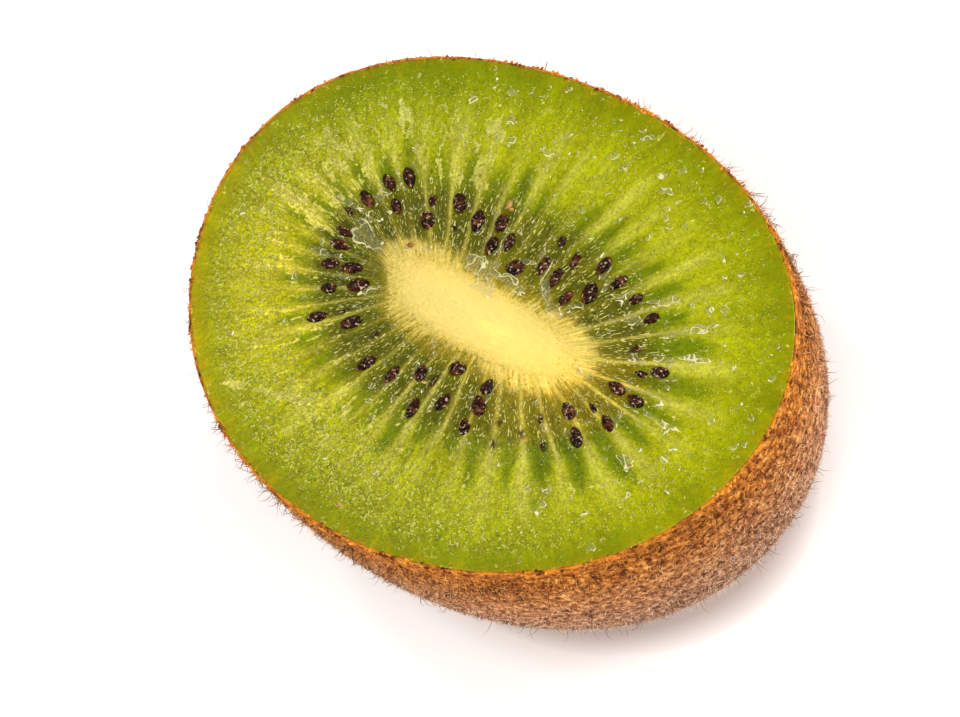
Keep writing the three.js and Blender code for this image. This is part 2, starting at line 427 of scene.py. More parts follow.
    height = add_node(tree, "Math", (painted_glints, 0.5, grain), operation="MULTIPLY_ADD")
    bump = add_node(tree, "Bump", {"Strength": rough, "Distance": 0.24 * MM, "Height": height})
    return with_surface(material, {
        "Base Color": shade, "Roughness": 0.5, "IOR": 1.38, "Specular IOR Level": 0.1,
        "Subsurface Weight": 0.12, "Subsurface Radius": (1.0, 0.9, 0.25),
        "Subsurface Scale": 0.6 * MM, "Coat Weight": 0.5, "Coat Roughness": 0.03, "Coat IOR": 1.34,
        "Normal": bump, "Coat Normal": bump,
    })


def juice_film():
    """Kiwi juice standing on the cut: thin and a little cloudy, glossy, with a painted highlight:
    palest where it curls over and along the folds of its surface."""
    material, tree, rim, fold_glints = new_material("kiwi_juice_film", ("rim",), ((620.0, 1.0, 0.5),))
    # Painted highlights along the folds of the film's surface.
    fold_glints = add_node(tree, "Math", (fold_glints, 0.5), operation="SUBTRACT")
    fold_glints = add_node(tree, "Math", (fold_glints,), operation="ABSOLUTE")
    fold_glints = add_node(tree, "MapRange", (fold_glints, 0.008, 0.022, 0.85, 0.0))
    rim = add_node(tree, "Math", (rim, fold_glints), operation="MAXIMUM")
    shade = add_node(tree, "ValToRGB", (rim,), stops=((0.1, "#c6bf8c"), (0.8, "#f4eeb0")))
    clear = add_node(tree, "BsdfTransparent")
    juice = add_node(tree, "BsdfPrincipled", {"Base Color": shade, "Roughness": 0.05, "IOR": 1.38})
    cloudy = add_node(tree, "MapRange", (rim, 0.0, 1.0, 0.15, 0.9))
    film = add_node(tree, "MixShader", (cloudy, clear, juice))
    add_node(tree, "OutputMaterial", (film,))
    return material


def papery_skin():
    """Kiwi skin: thin, dry and papery, tan brown with dark hair roots, orange where it was cut. The
    woody scar at the round end is where the fruit hung from its stalk."""
    material, tree, below, scar, blotches, ragged, crumple = new_material(
        "kiwi_skin_dry_papery", ("below_cut", "scar"),
        ((1600.0, 4.0, 0.75), (700.0, 4.0, 0.7), (1500.0, 4.0, 0.7)))
    shade, lower, wood = (
        add_node(tree, "ValToRGB", (blotches,), stops=stops)
        for stops in (
            ((0.36, "#4a1c06"), (0.46, "#8e4a16"), (0.56, "#c0762a"), (0.66, "#e8ac54")),
            ((0.36, "#4c2c1c"), (0.46, "#906446"), (0.56, "#b89074"), (0.66, "#dcbca2")),
            ((0.4, "#2a170c"), (0.55, "#5c3a22"), (0.68, "#8a6544")),
        )
    )
    how_low = add_node(tree, "MapRange", (below, 3.0, 17.0))
    # Hair roots, with the shade round them painted in, are dark dots about 0.7 mm apart.
    place = add_node(tree, "TexCoord", output="Object")
    roots = add_node(tree, "TexVoronoi", {"Vector": place, "Scale": 1400.0}, "Distance")
    roots = add_node(tree, "MapRange", (roots, 0.16, 0.36, 0.85, 0.0))
    ragged = add_node(tree, "Math", (ragged, 4.0, -1.8), operation="MULTIPLY_ADD")
    depth = add_node(tree, "Math", (below, ragged), operation="ADD")
    rim = add_node(tree, "MapRange", (depth, 0.1, 0.6, 0.95, 0.0))
    for mask, other in ((how_low, lower), (roots, "#3a1c0e"), (rim, "#de8a22"), (scar, wood)):
        shade = add_node(tree, "Mix", {0: mask, MIX_A: shade, MIX_B: other}, **COLOURS)
    bump = add_node(tree, "Bump", {"Strength": 0.9, "Distance": 0.5 * MM, "Height": crumple})
    return with_surface(material, {
        "Base Color": shade, "Roughness": 0.85, "IOR": 1.45, "Specular IOR Level": 0.1,
        "Normal": bump,
    })


def seed_coat():
    """Kiwi seeds: hard, pitted, almost black with a red-brown cast, and wet with juice. Pale specks on
    the coat are painted glints."""
    material, tree, patches, seed_glints = new_material(
        "kiwi_seed_coat_wet", noises=((1500.0, 2.0, 0.5), (4200.0, 2.0, 0.6)))
    shade = add_node(tree, "ValToRGB", (patches,), stops=(
        (0.35, "#140100"), (0.5, "#2c0c02"), (0.62, "#54240c"), (0.75, "#7a4a22")))
    # Painted glints: pale specks on the coat.
    seed_glints = add_node(tree, "MapRange", (seed_glints, 0.59, 0.68, 0.0, 0.85))
    shade = add_node(tree, "Mix", {0: seed_glints, MIX_A: shade, MIX_B: "#dcc09a"}, **COLOURS)
    place = add_node(tree, "TexCoord", output="Object")
    pits = add_node(tree, "TexVoronoi", {"Vector": place, "Scale": 3600.0}, "Distance")
    bump = add_node(tree, "Bump", {"Strength": 1.0, "Distance": 0.25 * MM, "Height": pits})
    return with_surface(material, {
        "Base Color": shade, "Roughness": 0.5, "IOR": 1.5, "Specular IOR Level": 0.05,
        "Coat Weight": 0.25, "Coat Roughness": 0.03, "Coat IOR": 1.33,
        "Normal": bump, "Coat Normal": bump,
    })


def dry_hair(name, root, tip):
    """Kiwi hair: dry and fibrous, darker at the root than at the tip, and more orange near the cut,
    where it has soaked up juice."""
    material, tree, along, below = new_material(name, ("along", "below_cut"))
    shade = add_node(tree, "ValToRGB", (along,), stops=((0.1, root), (0.8, tip)))
    warmth = add_node(tree, "MapRange", (below, 0.0, 11.0, 0.95, 0.0))
    soaked = add_node(tree, "MapRange", (below, 0.3, 1.6, 0.75, 0.0))
    shade = add_node(tree, "Mix", {0: warmth, MIX_A: shade, MIX_B: "#ffd866"}, **MULTIPLIES)
    shade = add_node(tree, "Mix", {0: soaked, MIX_A: shade, MIX_B: "#d0802c"}, **COLOURS)
    return with_surface(material, {
        "Base Color": shade, "Roughness": 0.6, "IOR": 1.5, "Specular IOR Level": 0.15})


def torn_skin():
    """Crumbs of kiwi skin, moist where they were torn: orange, with brown bits of its outside, and
    duller where they have soaked on the flesh."""
    material, tree, stray, patches = new_material(
        "kiwi_skin_torn_crumbs", ("stray",), ((900.0, 2.0, 0.6),))
    fresh, soaked = (
        add_node(tree, "ValToRGB", (patches,), stops=stops)
        for stops in (((0.4, "#5e2c0e"), (0.48, "#b0621a"), (0.6, "#eca236")),
                      ((0.42, "#8e6428"), (0.6, "#d0a45a")))
    )
    shade = add_node(tree, "Mix", {0: stray, MIX_A: fresh, MIX_B: soaked}, **COLOURS)
    return with_surface(material, {
        "Base Color": shade, "Roughness": 0.7, "IOR": 1.45, "Specular IOR Level": 0.15})


def white_floor_with_painted_shadow():
    """The floor: a smooth white sheet that glows, except towards the fruit, where the glow fades and a
    painted shadow darkens the spot that it stands on."""
    material, tree = new_material("white_floor_with_painted_shadow")
    place = add_node(tree, "TexCoord", output="Object")
    fitted = add_node(tree, "Mapping",
                      {"Vector": place, "Scale": (2 / FACE_LENGTH, 2 / FACE_WIDTH, 1.0)})
    away = add_node(tree, "VectorMath", (fitted,), "Value", operation="LENGTH")
    # The glow fades towards the fruit, and a painted shadow lies under it.
    glow = add_node(tree, "MapRange", (away, 0.7, 0.95, 0.0, 0.24), interpolation_type="SMOOTHSTEP")
    painted_shadow = add_node(tree, "ValToRGB", (away,), stops=((0.68, "#c4b6ae"), (0.785, "#f5f0ed")))
    return with_surface(material, {
        "Base Color": painted_shadow, "Roughness": 0.9, "Emission Color": "#ffffff", "Emission Strength": glow})


# ------------ seeds

PIT_DEPTH = 0.03 * MM
PIT_SIZE = 0.35 * MM

# A seed's middle on the cut, the ways along and across it, half its sizes, and its veil.
Seed = namedtuple("Seed", "middle along across half veil")


def placed_seeds():
    seeds = []
    for x, y, length, width, heading, *veil in SEEDS:
        cosine, sine = math.cos(math.radians(heading)), math.sin(math.radians(heading))
        seeds.append(Seed(
            np.array([x, y]) * MM + MIDDLE, np.array([cosine, sine]), np.array([-sine, cosine]),
            np.array([length, width, width * SEED_FLATNESS]) / 2 * MM, sum(veil),
        ))
    return seeds


def make_seeds(seeds, levels):
    """Every seed is a copy of one tapered, flattened ball with a pitted coat."""
    unit, faces = unit_ball(bpy.ops.mesh.primitive_uv_sphere_add, segments=20, ring_count=12)
    unit[:, 1] *= 1 - SEED_TAPER * np.clip(-unit[:, 0], 0, None)
    shapes = []
    for count, (seed, level) in enumerate(zip(seeds, levels)):
        places = unit * seed.half
        pitted = noise_at(places + count, PIT_SIZE)
        places *= 1 + PIT_DEPTH / seed.half[2] * pitted[:, None]
        places = places @ np.array([[*seed.along, 0], [*seed.across, 0], [0, 0, 1]])
        height = level + SEED_ABOVE - seed.half[2] - VEIL_DEPTH * seed.veil
        shapes.append(places + [*seed.middle, height])
    finish_piece(piece_from((np.array(shapes), faces)), "seeds", seed_coat(), "seeds")


# ------------ flesh

FACE_GRID = 290  # squares along each side of the sheet that becomes the cut face
CORE_SHARE = 0.22  # share of the sheet's radius that the core takes
SIDE_RINGS = 6
USUAL_RAY = 19.5 * MM
FLESH_END = 1 - SKIN_THICKNESS / USUAL_RAY  # the flesh stops at the inside of the skin
LAST_DIRECTION = math.radians(66)  # how far round the side it goes down there
GRAIN_SIZE = 0.5 * MM
GRAIN_HEIGHT = 0.025 * MM
FIBRE_HEIGHT = 0.02 * MM
SEED_RIM = 0.1 * MM  # the flesh stands up round a seed by this much
SEED_BED = 0.5 * MM  # and goes down under it by this much
SCRATCH = ((-16.5, -16.2), (-7.1, -13.6))  # its two ends, in millimetres from the middle of the cut
SCRATCH_WIDTH = 0.5 * MM


def square_to_disc(a, b):
    """Turns a square sheet into a round one: the turn and radius of each of its points."""
    wide = np.abs(a) > np.abs(b)
    radius = np.where(wide, a, b)
    small = np.where(wide, b, a)
    slope = np.divide(small, radius, out=np.zeros_like(small), where=radius != 0)
    turn = np.where(wide, math.pi / 4 * slope, math.pi / 2 - math.pi / 4 * slope)
    turn = np.where(radius < 0, turn + math.pi, turn) % (2 * math.pi)
    return turn, np.abs(radius)


def draw_border(rings, step):
    """In edit mode, draws the border out in rings, each moved by a step, and closes its end."""
    bpy.ops.mesh.select_all(action="SELECT")
    bpy.ops.mesh.region_to_loop()
    for _ in range(rings):
        bpy.ops.mesh.extrude_edges_move(TRANSFORM_OT_translate={"value": (0, 0, step)})
    bpy.ops.mesh.edge_face_add()
    bpy.ops.object.mode_set(mode="OBJECT")


# The green pulp of the locules ends in fingers: the angle of each, in degrees, and the share of the
# ray where it ends.
FINGERS = (
    (-1, 0.65), (12.5, 0.72), (25.5, 0.66), (38, 0.56), (48, 0.6), (56, 0.6), (64, 0.57), (72, 0.58),
    (80, 0.58), (88, 0.42), (94, 0.5), (101, 0.58), (109, 0.53), (117, 0.58), (127, 0.6), (136, 0.7),
    (144, 0.55), (154, 0.58), (163, 0.55), (172, 0.58), (181, 0.62), (189, 0.5), (197, 0.55),
    (206, 0.55), (214, 0.5), (221, 0.6), (229, 0.58), (238, 0.55), (246, 0.5), (255, 0.5),
    (262, 0.55), (269, 0.62), (277, 0.5), (286, 0.5), (294, 0.65), (304, 0.62), (313, 0.57),
    (324, 0.65), (337, 0.72), (348, 0.6),
)


def finger_position(around):
    """Counts the fingers round the core: whole at the middle of each, a half at the wall between."""
    before = FINGERS[-1][0] - 360
    middles = [before, *(angle for angle, _ in FINGERS), FINGERS[0][0] + 360]
    return np.interp((around - before) % 360 + before, middles, np.arange(-1, len(FINGERS) + 1))


def draws_for(number, factor, start):
    """One draw from 0 to 1 for each finger or wall, looked up by its number."""
    draws = np.array([spread(factor * k + start) for k in range(len(FINGERS))])
    return draws[number % len(FINGERS)]


def locule_masks(turn, share, warp):
    """How far each point lies in green pulp, in a seed chamber, on a thin pale wall between locules
    and in the broad pale band that each wall widens to."""
    around = np.degrees(ray_angle(turn)) % 360
    position = finger_position(around) + warp
    number = np.round(position).astype(int)
    across = position - np.round(position)
    tips = np.array([tip for _, tip in FINGERS])[number % len(FINGERS)]
    width = 0.24 + 0.14 * draws_for(number, 11, 5)
    pulp = hump(across, 0, width) * smoothstep(share, 0.24, 0.4)
    pulp *= (1 - smoothstep(share, tips - 0.12, tips + 0.1)) * (0.6 + 0.4 * draws_for(number, 3, 2))
    chamber = hump(across, 0, 0.45) * smoothstep(share, 0.04, 0.14) * (1 - smoothstep(share, 0.3, 0.46))
    chamber *= 1 - 0.5 * round_hump(around, 328, 35) - 0.35 * round_hump(around, 5, 20)
    wall = position + 0.5
    wall_across = wall - np.round(wall)
    wall_number = np.round(wall).astype(int)
    strength = 0.3 + 0.4 * draws_for(wall_number, 5, 1) + 0.4 * round_hump(around, 350, 50)
    strength += 0.15 * round_hump(around, 115, 25) + 0.2 * round_hump(around, 265, 30)
    strength -= 0.3 * round_hump(around, 68, 25) * (1 - smoothstep(share, 0.25, 0.4))
    septum = hump(wall_across, 0, 0.1 + 0.05 * draws_for(wall_number, 3, 4)) * strength
    septum *= smoothstep(share, 0.0, 0.06) * (1 - smoothstep(share, 0.35, 0.7))
    band = hump(wall_across, 0, 0.26) * smoothstep(share, 0.3, 0.48)
    band *= (1 - smoothstep(share, 0.6, 0.9)) * (0.45 + 0.55 * draws_for(wall_number, 7, 2))
    return pulp, chamber, septum, band, across


def bed_seeds(seeds, places, level, on_face):
    """How the flesh lies round the seeds: how much it stands up, how far it veils one and how far it
    is wet and smooth beside one, and the height of the flesh at each seed."""
    beds, veil, wet = np.zeros((3, len(places)))
    levels = []
    for seed in seeds:
        offset = places[:, :2] - seed.middle
        reach = np.hypot(offset @ seed.along / seed.half[0], offset @ seed.across / seed.half[1])
        levels.append(CUT_HEIGHT + level[np.argmin(reach + 9 * ~on_face)])
        open_part = 1 - smoothstep(seed.veil, 0.3, 0.6)
        beds += SEED_RIM * (1 - open_part) * np.exp(-(reach**4))
        beds += SEED_RIM * open_part * np.exp(-np.clip(reach - 0.9, 0, None) * 5)
        beds -= SEED_BED * open_part * (1 - smoothstep(reach, 0.55, 0.9))
        veil = np.maximum(veil, 0.75 * seed.veil**0.5 * np.exp(-((reach / 0.95) ** 4)))
        wet = np.maximum(wet, open_part * np.exp(-((reach / 1.3) ** 6)))
    return beds, veil, wet, levels


def scratch_mask(places, fibre):
    """A ragged scratch that the knife left, painted with the film's pale sheen: high along its line,
    and nothing past its two ends.
    """
    start, end = (np.array(point) * MM + MIDDLE for point in SCRATCH)
    length = np.linalg.norm(end - start)
    slope = (end - start) / length
    from_start = places[:, :2] - start
    off_line = from_start @ [-slope[1], slope[0]] + SCRATCH_WIDTH / 2 * fibre
    past = np.abs(from_start @ slope / length - 0.5)
    return 1.6 * hump(off_line, 0, SCRATCH_WIDTH) * (1 - smoothstep(past, 0.4, 0.55))


def make_flesh(seeds):
    """A flat sheet with its border drawn down in rings, bent into the fruit."""
    deselect()
    bpy.ops.mesh.primitive_grid_add(x_subdivisions=FACE_GRID, y_subdivisions=FACE_GRID, size=2)
    sheet = bpy.context.object
    bpy.ops.object.mode_set(mode="EDIT")
    draw_border(SIDE_RINGS, -1)
    flat = coordinates(sheet)
    turn, radius = square_to_disc(flat[:, 0], flat[:, 1])
    on_face = flat[:, 2] > -0.5
    outside = (radius - CORE_SHARE) / (1 - CORE_SHARE) * FLESH_END
    share = np.where(radius < CORE_SHARE, radius / CORE_SHARE - 1, outside)
    places = np.zeros_like(flat)
    places[:, :2] = face_place(turn, share)
    direction = -flat[:, 2] / SIDE_RINGS * LAST_DIRECTION
    places[~on_face] = side_place(turn[~on_face], direction[~on_face], SKIN_THICKNESS)

    # Space that follows the rays: round the core in two of its directions, along the ray in the third.
    # In the core it shrinks to a point, so that the fibres there run along the core's long way.
    round_core = 24.0 * (1 + np.clip(share, -1, 0))
    ray = np.stack([round_core * np.cos(turn), round_core * np.sin(turn), 4.0 * np.clip(share, 0, 1)],
                   -1)
    fibre = noise_at(ray, 1.0, 3)
    warp = 0.13 * noise_at(ray * [0.25, 0.25, 0.8], 1.0)
    pulp, chamber, septum, band, across = locule_masks(turn, share, warp)
    level = face_relief(across, share)
    beds, veil, wet, levels = bed_seeds(seeds, places, level, on_face)

    # The knife left one side of the cut rougher than the other.
    around = np.degrees(ray_angle(turn)) % 360
    one_side = np.clip(round_hump(around, 185, 50) + round_hump(around, 265, 50), 0, 1)
    torn = 0.15 + 0.6 * one_side * smoothstep(share, 0.4, 0.65)
    torn = np.maximum(torn, 0.48 * hump(share, 0.2, 0.28))
    torn *= 0.2 + 0.8 * smoothstep(share, -0.25, -0.02)
    torn -= (torn + 0.35) * smoothstep(share, 0.86, 0.97)
    rough = 0.3 + 0.7 * np.clip(one_side + hump(share, 0.25, 0.25) * 0.7, 0, 1)
    rough *= 0.4 + 0.6 * smoothstep(share, -0.4, 0)
    relief = GRAIN_HEIGHT * noise_at(places, GRAIN_SIZE) + FIBRE_HEIGHT * fibre
    relief *= rough * (0.4 + 0.6 * smoothstep(share, -0.05, 0.1)) * (1 - wet)
    places[on_face, 2] = (CUT_HEIGHT + (level + beds + relief))[on_face]

    # The flesh is paler and yellower in some places and darker in others: partly its own uneven tone,
    # partly painted light and shade, paler on the side the light falls on.
    outer = smoothstep(share, 0.4, 1.0)
    near_core = 1 - smoothstep(share, 0.25, 0.42)
    paler_and_lit = round_hump(around, 205, 42) * (1 - near_core) + 0.3 * round_hump(around, 345, 25) * outer
    paler_and_lit += round_hump(around, 195, 45) * smoothstep(share, 0.85, 1) * 0.6
    paler_and_lit += (1.3 * round_hump(around, 325, 32) + round_hump(around, 5, 22)) * near_core
    darker_and_shaded = round_hump(around, 140, 32) * outer + 0.8 * round_hump(around, 200, 45) * near_core
    tint = np.stack([1 + 0.34 * paler_and_lit - 0.24 * darker_and_shaded, 1 + 0.2 * paler_and_lit - 0.14 * darker_and_shaded,
                     np.ones_like(share)], -1)
    # Patches on the rough side where a film of juice bridges the ridges, drawn out along the rays; the
    # film's sheen is painted pale.
    film = 0.9 + 0.7 * noise_at(ray * [0.3, 0.3, 0.9] + 9, 1.0)
    film *= round_hump(around, 150, 55) + 0.55 * round_hump(around, 250, 40)
    film *= smoothstep(share, 0.26, 0.42) * (1 - smoothstep(share, 0.62, 0.9)) * (1 - wet)
    edge = CORE_EDGE + sum_of_waves(CORE_UNEVENNESS, ray_angle(turn))
    from_core = share - edge * hump(share, 0, 0.3)
    set_coordinates(sheet, places)
    flesh = finish_piece(
        sheet, "flesh", wet_flesh(), "flesh", ray=ray, tint=tint, pulp=pulp, chamber=chamber,
        septum=septum, band=band, veil=veil, film=np.maximum(film, scratch_mask(places, fibre)),
        ring=0.15 + 0.15 * np.clip(from_core, -1, 0) + 0.85 * np.clip(from_core, 0, 1),
        torn=torn * (1 - wet), rough=rough * (1 - wet),
    )
    # Only the face is shaded smooth, which leaves a crisp edge where the knife came out.
    flesh.data.polygons.foreach_set(
        "use_smooth", [bool(on_face[list(face.vertices)].all()) for face in flesh.data.polygons])
    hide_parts("kiwi_half")
    return flesh, levels


# ------------ juice

# Pools of juice on the cut: where the middle of each lies from the middle of the cut, its length and
# width, all in millimetres, and the way it lies, in degrees.
POOLS = (
    (7.3, 4.4, 2.2, 1.0, 20), (3.8, 4.6, 2.7, 0.9, -60), (5.5, 3.1, 2.6, 0.8, -20),
    (-2.0, 3.2, 2.7, 2.0, 0), (0.9, 3.1, 3.3, 0.9, -5), (-0.8, 1.6, 2.1, 1.2, -15),
    (11.0, 6.7, 2.6, 1.0, 20), (12.6, 5.4, 1.4, 0.8, 0), (17.9, 7.0, 3.4, 0.8, 37),
    (19.4, 4.9, 2.3, 0.8, 25), (17.0, 3.7, 2.2, 0.6, 10), (15.0, 2.6, 1.8, 0.6, 10),
    (14.2, 8.0, 2.3, 0.8, 35), (16.7, -2.4, 1.7, 0.7, 90), (19.6, -5.3, 1.8, 0.8, -15),
    (19.6, -1.0, 3.3, 0.5, 0), (-13.1, 0.8, 4.6, 1.6, -10), (-14.7, 5.1, 2.2, 1.0, 140),
    (-16.3, -2.3, 2.0, 0.6, 10), (-17.4, 2.6, 2.8, 0.5, -5),
)
POOL_DEPTH = 0.08 * MM
BEAD_DEPTH = 0.2  # as a share of its length
# Across a pool, from its middle to where it ends in the flesh: share of the radius, and of the depth.
POOL_PROFILE = ((0.3, 0.5), (0.55, 0.5), (0.72, 0.55), (0.82, 0.8), (0.89, 1.0), (0.95, 0.75),
                (1.0, 0.1), (1.04, -1.2))
BEAD_PROFILE = ((0.4, 0.9), (0.7, 0.65), (0.9, 0.35), (1.0, 0.0), (1.06, -0.5))
POOL_CORNERS = 48
BEAD_CORNERS = 12


def juice_patch(height_at, middle, length, width, heading, depth, profile, corners, number):
    """The points of one pool or bead, as its middle and then rings, and its painted rim highlight: how
    near the rim each is, paler in places. Its number gives it an outline of its own."""
    angle = np.linspace(0, 2 * math.pi, corners, endpoint=False)
    circle = np.stack([np.cos(angle), np.sin(angle), np.full(corners, 7.3 * number)], -1)
    wobble = np.clip(1 + 0.9 * noise_at(circle, 0.75, 3), 0.45, 1.7)
    # The painted highlight round the rim is paler in some places than in others.
    pale = np.clip(0.55 + 1.6 * noise_at(circle + 50, 0.9), 0.1, 1)
    edge = np.stack([np.cos(angle) * length / 2 * wobble, np.sin(angle) * width / 2 * wobble], -1)
    edge = turned(edge, math.radians(heading))
    shares, rises = np.array(profile).T
    flat = np.concatenate([[middle], (middle + edge * shares[:, None, None]).reshape(-1, 2)])
    # It lies on a plane fitted to the flesh under it, and its edge dips in.
    under = height_at(flat)
    terms = np.column_stack([flat, np.ones(len(flat))])
    plane, *_ = np.linalg.lstsq(terms, under, rcond=None)
    level = terms @ plane
    rise = np.repeat([rises[0], *rises], [1] + [corners] * len(rises))
    height = np.where(rise < 0, np.minimum(level, under), level) + rise * depth
    rim = np.concatenate([[0.0], (hump(shares, 0.93, 0.08)[:, None] * pale).ravel()])
    return np.column_stack([flat, height]), rim


def patch_faces(rings, corners):
    """The faces of a closed pool or bead: a fan round its middle, its rings and its underside."""
    sides = [(i, (i + 1) % corners) for i in range(corners)]
    faces = [(0, 1 + i, 1 + j) for i, j in sides]
    for ring in range(1, (rings - 1) * corners, corners):
        outer = ring + corners
        faces += [(ring + i, outer + i, outer + j, ring + j) for i, j in sides]
    return [*faces, tuple(range(rings * corners, (rings - 1) * corners, -1))]


def pools_by_seeds(seeds, draw):
    """Juice that clings to a seed: most seeds that lie open have some at one or both sides."""
    pools = []
    for seed in seeds:
        for side in (-1, 1):
            if seed.veil > 0.3 or draw.uniform() > 0.55:
                continue
            ends = seed.along * draw.uniform(-0.8, 0.8)
            middle = seed.middle + seed.across * side * seed.half[1] * 0.9 + ends * seed.half[0]
            heading = math.degrees(math.atan2(seed.along[1], seed.along[0]))
            pools.append((middle, draw.uniform(1.0, 1.9), draw.uniform(0.45, 0.8), heading))
    return pools


def bead_places(draw):
    """Small beads of juice: where each lies, and its length in millimetres. Most are on the wetter
    side of the cut and near the core."""
    wet_side = (draw.uniform(-0.75, 2.1, 120), draw.uniform(0.55, 0.97, 120))
    inner = (draw.uniform(0, 2 * math.pi, 110), draw.uniform(0.02, 0.5, 110))
    rest = (draw.uniform(0, 2 * math.pi, 40), draw.uniform(0.4, 0.9, 40))
    turns, shares = (np.concatenate(parts) for parts in zip(wet_side, inner, rest))
    lengths = np.concatenate([0.3 + 0.8 * draw.uniform(0, 1, 120) ** 2,
                              draw.uniform(0.25, 0.7, 110), draw.uniform(0.3, 0.6, 40)])
    return face_place(turns, shares), lengths


def heights_of(flesh):
    """A function that gives the height of the flesh under each point of a flat array."""
    ground = BVHTree.FromObject(flesh, bpy.context.evaluated_depsgraph_get())

    def height_at(flat):
        hits = (ground.ray_cast(Vector((x, y, 1.0)), Vector((0, 0, -1)))[0] for x, y in flat)
        return np.array([CUT_HEIGHT if hit is None else hit.z for hit in hits])

    return height_at


def make_juice(height_at, seeds):
    draw = np.random.RandomState(5)
    lying = [(MIDDLE + np.array([x, y]) * MM, *rest) for x, y, *rest in POOLS]
    pools = [
        juice_patch(height_at, middle, length * MM, width * MM, heading, POOL_DEPTH, POOL_PROFILE,
                    POOL_CORNERS, number)
        for number, (middle, length, width, heading) in enumerate(lying + pools_by_seeds(seeds, draw))
    ]
    beads = [
        juice_patch(height_at, middle, length * MM, length * MM * draw.uniform(0.4, 0.9),
                    draw.uniform(0, 180), BEAD_DEPTH * length * MM, BEAD_PROFILE, BEAD_CORNERS, number)
        for number, (middle, length) in enumerate(zip(*bead_places(draw)), 100)
    ]
    juice = piece_from(*(
        (np.array([points for points, _ in patches]), patch_faces(len(profile), corners))
        for patches, profile, corners in (
            (pools, POOL_PROFILE, POOL_CORNERS), (beads, BEAD_PROFILE, BEAD_CORNERS))
    ))
    # The rim attribute is the painted highlight round each pool and bead.
    rim = np.concatenate([rim for _, rim in pools + beads])
    finish_piece(juice, "juice", juice_film(), "juice", rim=rim)


# ------------ skin

SKIN_AROUND = 520
SKIN_DOWN = 130
JUST_BELOW = 1e-4  # the ball is cut this far under its middle ring, as a share of its radius
LIP_DEPTH = 1.0 * MM  # how far the skin's inside runs down behind the flesh before it closes
LUMP_SIZE = 6 * MM
LUMP_HEIGHT = 0.1 * MM
CRUMPLE_SIZE = 1.1 * MM
CRUMPLE_HEIGHT = 0.06 * MM
RIM_RISE = 0.2 * MM  # how far the ragged edge stands up
RIM_RAGGEDNESS = 0.11 * MM
SCAR_RADIUS = 2.8 * MM
SCAR_PIT = 0.35 * MM
SCAR_RING = 0.2 * MM


def make_skin():
    """A ball cut in half, with a lip turned in along the cut, bent to the fruit's side."""
    deselect()
    bpy.ops.mesh.primitive_uv_sphere_add(segments=SKIN_AROUND, ring_count=SKIN_DOWN * 2, radius=1.0)
    shell = bpy.context.object
    bpy.ops.object.mode_set(mode="EDIT")
    bpy.ops.mesh.select_all(action="SELECT")
    bpy.ops.mesh.bisect(plane_co=(0, 0, -JUST_BELOW), plane_no=(0, 0, 1), clear_outer=True)
    draw_border(2, 1)
    ball = coordinates(shell)
    turn = np.arctan2(ball[:, 1], ball[:, 0]) % (2 * math.pi)
    direction = np.arcsin(np.clip(-ball[:, 2], 0, 1))
    inside = ball[:, 2] > 0.5
    lowest = ball[:, 2] > 1.5
    places = side_place(turn, direction)
    crumple = noise_at(places, CRUMPLE_SIZE, 3)
    outward = places - [*MIDDLE, CUT_HEIGHT]
    outward /= np.linalg.norm(outward, axis=1, keepdims=True)
    off_edge = smoothstep(direction, 0, math.radians(3))
    swell = LUMP_HEIGHT * noise_at(places, LUMP_SIZE) + CRUMPLE_HEIGHT * crumple
    places += outward * (swell * off_edge)[:, None]
    places += outward * (0.05 * MM * crumple * (1 - off_edge) * ~inside)[:, None]
    thin = SKIN_THICKNESS * (1 + 0.4 * noise_at(places, 0.9 * MM))
    places[inside] -= outward[inside] * thin[inside, None]
    edge = 1 - smoothstep(direction, 0, math.radians(1.2))
    places[:, 2] += edge * (RIM_RISE + RIM_RAGGEDNESS * noise_at(places, 0.8 * MM, 3))
    places[inside, 2] -= 0.03 * MM
    places[lowest, 2] = CUT_HEIGHT - EDGE_DROP - LIP_DEPTH
    # The scar is a shallow pit with a low ring round it.
    from_tip = np.linalg.norm(places[:, :2] - MIDDLE, axis=1) + 0.25 * MM * crumple
    from_tip += CUT_HEIGHT * (places[:, 2] > 0.1 * CUT_HEIGHT)
    places[:, 2] = np.maximum(places[:, 2], 0)
    scar = SCAR_PIT * hump(from_tip, 0, 1.3 * MM) + SCAR_RING * hump(from_tip, 3 * MM, 0.5 * MM)
    places[:, 2] += scar
    set_coordinates(shell, places)
    skin = finish_piece(
        shell, "skin", papery_skin(), "skin", scar=1 - smoothstep(from_tip, 2.0 * MM, SCAR_RADIUS),
        below_cut=(CUT_HEIGHT - places[:, 2]) / MM,
    )
    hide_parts("kiwi_half")


# ------------ crumbs

RIM_CRUMBS = 1700
# Bits that lie on the cut: where each lies from the middle of the cut, its length and width, all in
# millimetres, and the way it lies, in degrees.
STRAY_BITS = (
    (-3.7, 9.05, 1.0, 0.7, 110), (-3.2, 8.7, 0.6, 0.45, 30), (-9.2, 1.9, 0.7, 0.5, 0),
    (-0.3, -7.7, 0.9, 0.35, 15), (20.2, -5.5, 0.5, 0.3, 60), (6.5, 12.7, 0.5, 0.3, 20),
    (10.8, -7.7, 0.6, 0.35, 0), (0.0, -20.1, 0.9, 0.3, 30),
)


